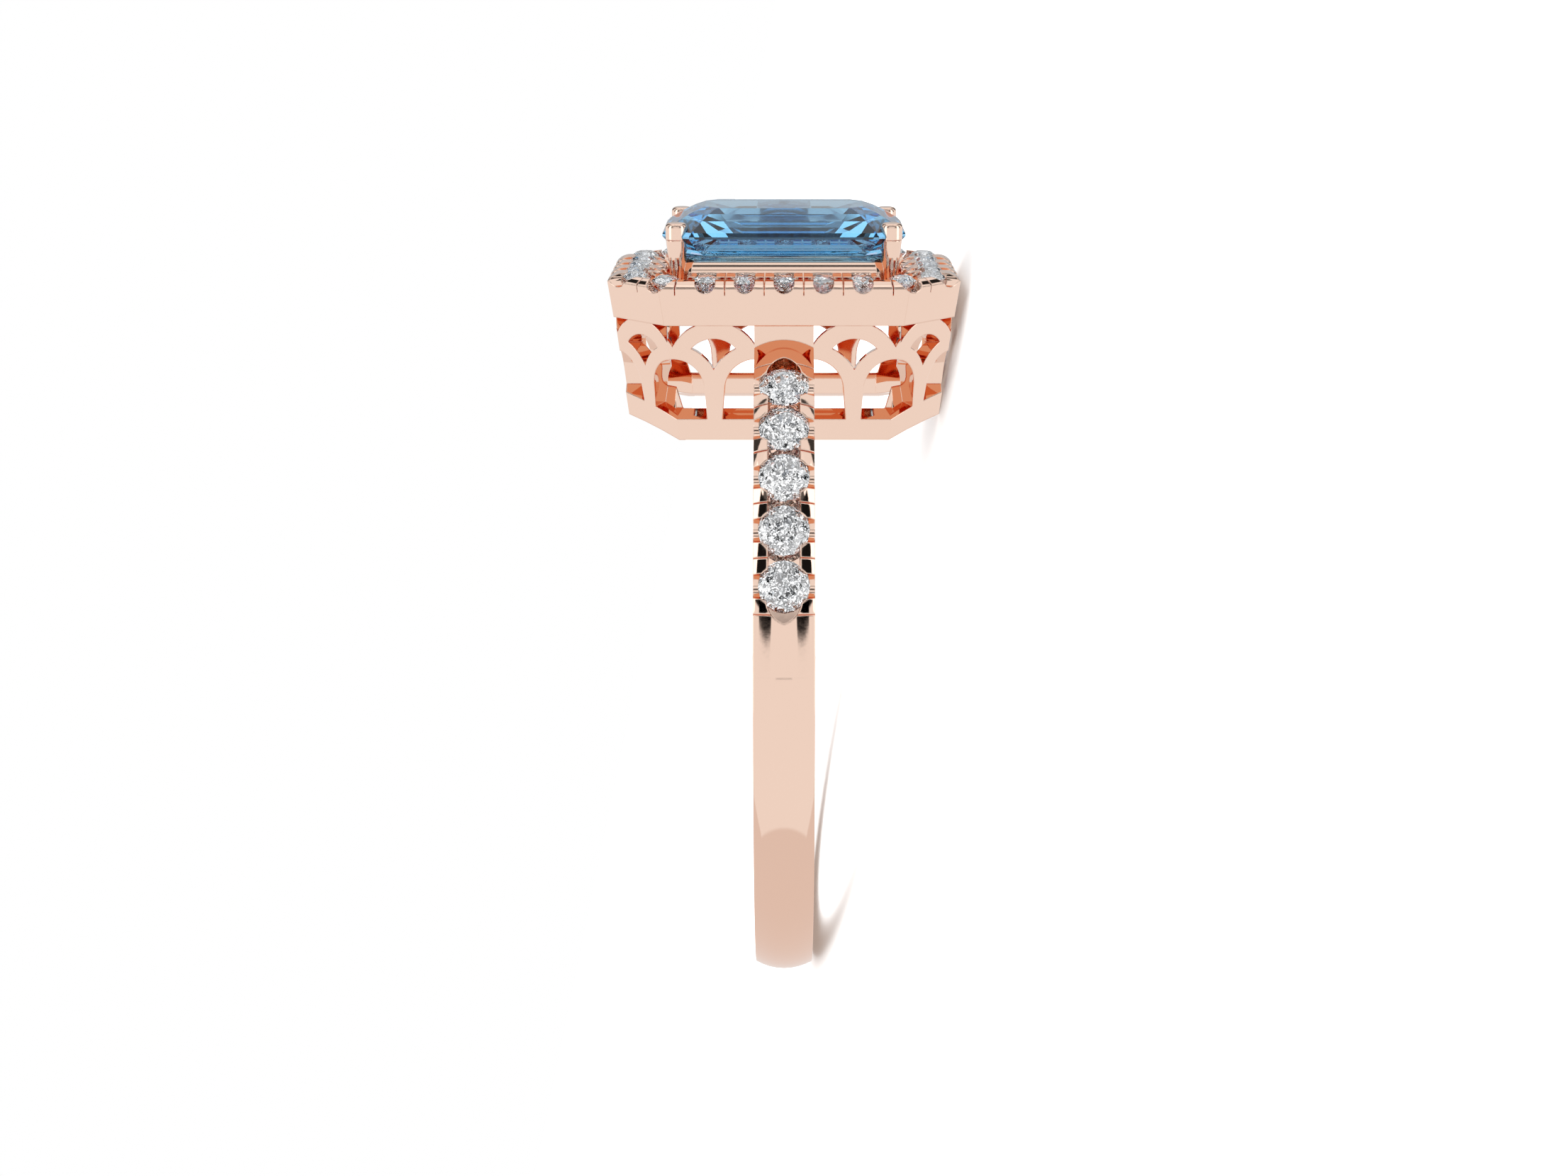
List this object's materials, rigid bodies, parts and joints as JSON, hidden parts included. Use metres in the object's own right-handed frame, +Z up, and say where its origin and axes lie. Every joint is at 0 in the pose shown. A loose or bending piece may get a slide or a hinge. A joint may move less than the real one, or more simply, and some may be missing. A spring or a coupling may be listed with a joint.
{
  "type": "halo engagement ring",
  "caption": "Rose-gold halo ring lying on its side: pierced octagonal gallery, step-cut blue centre stone in claws, halo of small round stones, stone-set shoulders.",
  "frame": {"origin": "under the middle of the ring's bounding box, on the surface that the ring lies on", "axes": "+X from the band's far edge to the centre stone, +Y from the front shoulder to the back one, +Z up; the finger hole's axis leans 12 degrees from +Z towards -X"},
  "size_m": [0.0252, 0.0208, 0.011],
  "materials": {
    "rose_gold": "polished rose gold",
    "diamond": "polished facets",
    "blue_stone": "polished facets"
  },
  "bodies": {
    "root": {"ring_mount": "rose_gold", "centre_stone": "blue_stone", "halo_stone_1": "diamond", "halo_stone_2": "diamond", "halo_stone_3": "diamond", "halo_stone_4": "diamond", "halo_stone_5": "diamond", "halo_stone_6": "diamond", "halo_stone_7": "diamond", "halo_stone_8": "diamond", "halo_stone_9": "diamond", "halo_stone_10": "diamond", "halo_stone_11": "diamond", "halo_stone_12": "diamond", "halo_stone_13": "diamond", "halo_stone_14": "diamond", "halo_stone_15": "diamond", "halo_stone_16": "diamond", "halo_stone_17": "diamond", "halo_stone_18": "diamond", "halo_stone_19": "diamond", "halo_stone_20": "diamond", "halo_stone_21": "diamond", "halo_stone_22": "diamond", "halo_stone_23": "diamond", "halo_stone_24": "diamond", "front_shoulder_stone_1": "diamond", "front_shoulder_stone_2": "diamond", "front_shoulder_stone_3": "diamond", "front_shoulder_stone_4": "diamond", "front_shoulder_stone_5": "diamond", "back_shoulder_stone_1": "diamond", "back_shoulder_stone_2": "diamond", "back_shoulder_stone_3": "diamond", "back_shoulder_stone_4": "diamond", "back_shoulder_stone_5": "diamond"}
  },
  "joints": []
}
